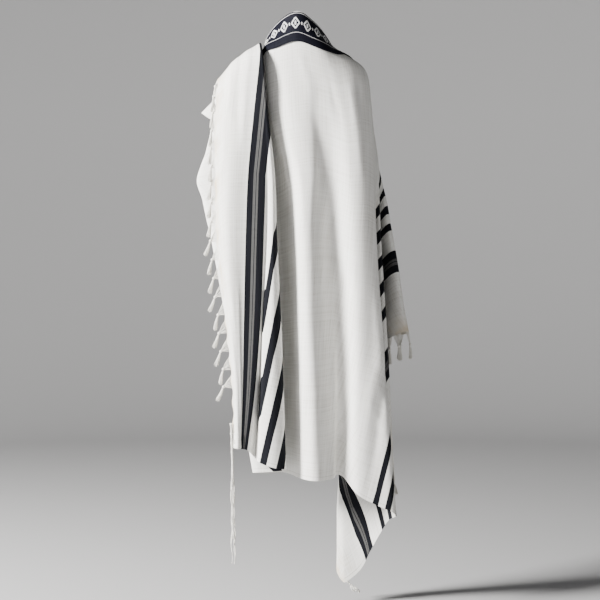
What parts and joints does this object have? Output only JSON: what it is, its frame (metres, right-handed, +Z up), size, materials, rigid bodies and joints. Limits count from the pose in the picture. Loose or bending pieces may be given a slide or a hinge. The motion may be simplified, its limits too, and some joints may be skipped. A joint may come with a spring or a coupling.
{
  "type": "prayer shawl",
  "caption": "Fringed woollen prayer shawl with woven stripes and a dark collar band, hanging as worn over the shoulders and one bent arm, hollow, without a wearer.",
  "frame": {"origin": "outer fold of the cloth at the back of the neck, where the wearer's shoulders hold the shawl", "axes": "+Z up, +Y to the wearer's front, +X to the wearer's right; the back of the shawl faces -Y"},
  "size_m": [0.6027, 0.4509, 1.653],
  "materials": {
    "wool": "matte woven wool, white with woven black and grey stripes",
    "band": "dark navy satin with pale embroidery",
    "thread": "matte twisted wool thread"
  },
  "bodies": {
    "root": {"cloth_back": "wool", "cloth_left_over": "wool", "cloth_left_under": "wool", "cloth_right_cascade": "wool", "cloth_right_side": "wool", "collar_band": "band", "patch_lower_left": "wool", "patch_upper_left": "wool", "patch_lower_right": "wool", "patch_upper_right": "wool", "fringe_left": "thread", "fringe_right": "thread", "tassel_lower_left": "thread", "tassel_upper_left": "thread", "tassel_lower_right": "thread", "tassel_upper_right": "thread"}
  },
  "joints": []
}
